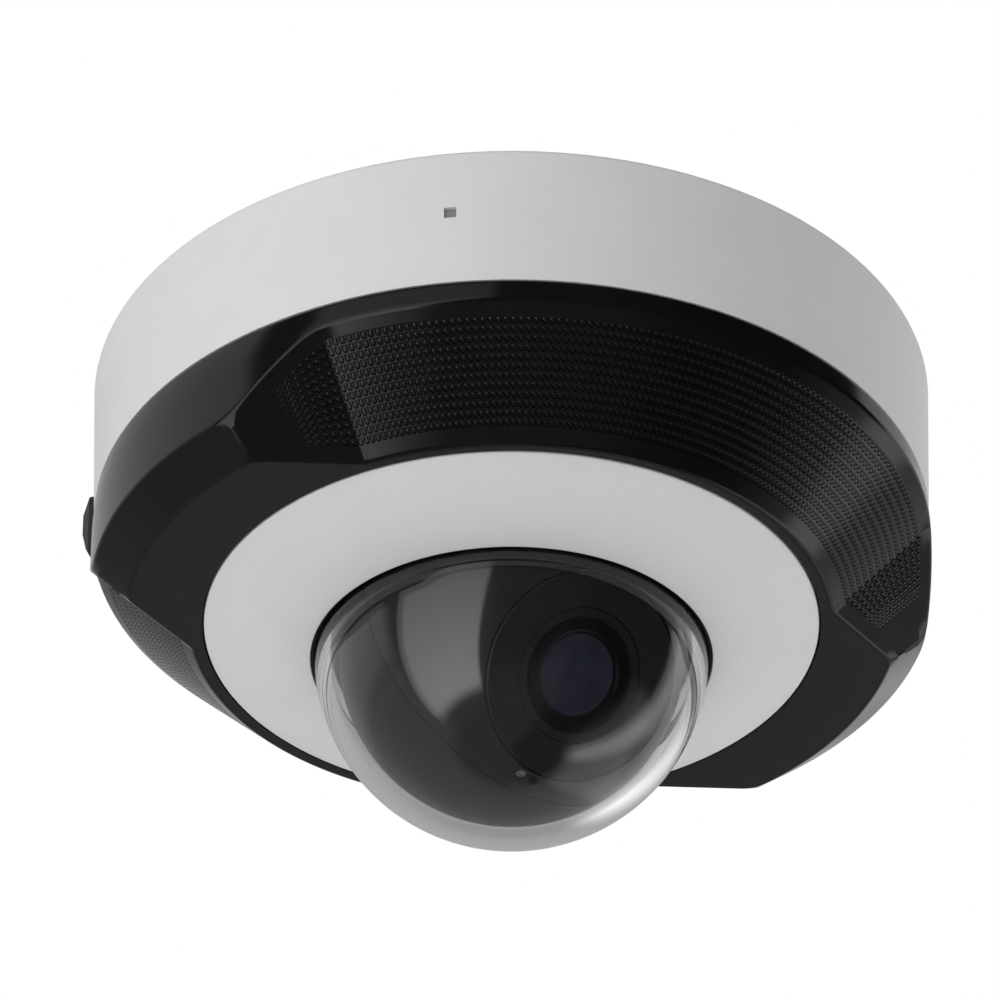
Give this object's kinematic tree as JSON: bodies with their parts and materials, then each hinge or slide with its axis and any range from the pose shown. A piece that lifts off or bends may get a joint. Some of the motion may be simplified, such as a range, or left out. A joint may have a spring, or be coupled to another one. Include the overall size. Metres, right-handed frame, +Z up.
{
  "type": "dome security camera",
  "caption": "Ceiling-mounted mini dome camera: round base, faceted dark bezel with textured panels, light face ring, clear bubble and a pan, tilt and turn camera ball.",
  "frame": {"origin": "centre of the ceiling face, on the mounting plate", "axes": "+Z up into the ceiling, -Y to the front, where the middle of one textured panel is; the plain shoulders are on +X and -X"},
  "size_m": [0.11, 0.11, 0.065],
  "materials": {
    "white_shell": "fine-textured matt white",
    "black_bezel": "semi-gloss black with textured panels",
    "black_plastic": "satin black",
    "lens_metal": "black anodised",
    "steel": "zinc-plated",
    "aluminium": "bare extruded",
    "rubber": "matt black",
    "circuit_board": "green solder mask",
    "terminal_green": "moulded green",
    "chip_black": "moulded epoxy",
    "connector_cream": "cream",
    "smoked_window": "smoked translucent",
    "clear_dome": "clear polycarbonate",
    "lens_glass": "coated optical glass"
  },
  "bodies": {
    "base": {"mounting_plate": "steel", "ceiling_gasket": "rubber", "plate_screws": "steel", "base_housing": "white_shell", "cable_grommet": "rubber", "status_window": "smoked_window", "status_led": "white_shell", "main_board": "circuit_board", "board_screws": "steel", "network_jack": "steel", "power_terminal": "terminal_green", "card_slot": "steel", "reset_switch": "steel", "processor": "chip_black", "heat_sink": "aluminium", "board_connector": "connector_cream", "drying_bag": "connector_cream", "chassis": "black_plastic", "chassis_screws": "steel", "pan_retainer": "black_plastic", "retainer_screws": "steel", "cover_seal": "rubber"},
    "plug": {"side_plug": "black_plastic"},
    "button": {"reset_button": "black_plastic"},
    "pan": {"pan_ring": "black_plastic", "yoke_arms": "steel", "tilt_pins": "steel"},
    "tilt": {"module_frame": "black_plastic", "ball_front_shell": "black_plastic", "ball_back_shell": "black_plastic", "roll_clip": "steel", "roll_lock_screw": "steel"},
    "lens": {"lens_face": "black_plastic", "lens_holder": "black_plastic", "lens_barrel": "lens_metal", "front_lens": "lens_glass", "sensor_board": "circuit_board", "image_sensor": "steel"},
    "cover": {"bezel": "black_bezel", "face_ring": "white_shell", "dome_bubble": "clear_dome", "dome_gasket": "rubber", "dome_clamp": "black_plastic", "clamp_screws": "steel", "cover_latches": "black_plastic", "latch_screws": "steel"}
  },
  "joints": [
    {"name": "cover_off", "type": "slide", "parent": "base", "child": "cover", "axis": [0, 0, -1], "range_m": [0, 0.05]},
    {"name": "pan_turn", "type": "hinge", "parent": "base", "child": "pan", "pos_m": [0, 0, -0.03961], "axis": [0, 0, 1], "range_deg": [-175, 175]},
    {"name": "tilt_turn", "type": "hinge", "parent": "pan", "child": "tilt", "pos_m": [0, 0, -0.03961], "axis": [0.9925, 0.1219, 0], "range_deg": [-12.5, 52.5]},
    {"name": "lens_turn", "type": "hinge", "parent": "tilt", "child": "lens", "pos_m": [0, 0, -0.03961], "axis": [0.0967, -0.7874, -0.6088], "range_deg": [-170, 170]},
    {"name": "plug_out", "type": "slide", "parent": "base", "child": "plug", "axis": [-0.7193, 0.6947, 0], "range_m": [0, 0.012]},
    {"name": "reset_press", "type": "slide", "parent": "base", "child": "button", "axis": [0, 0, 1], "range_m": [0, 0.0003], "stiffness_N_per_m": 300}
  ]
}
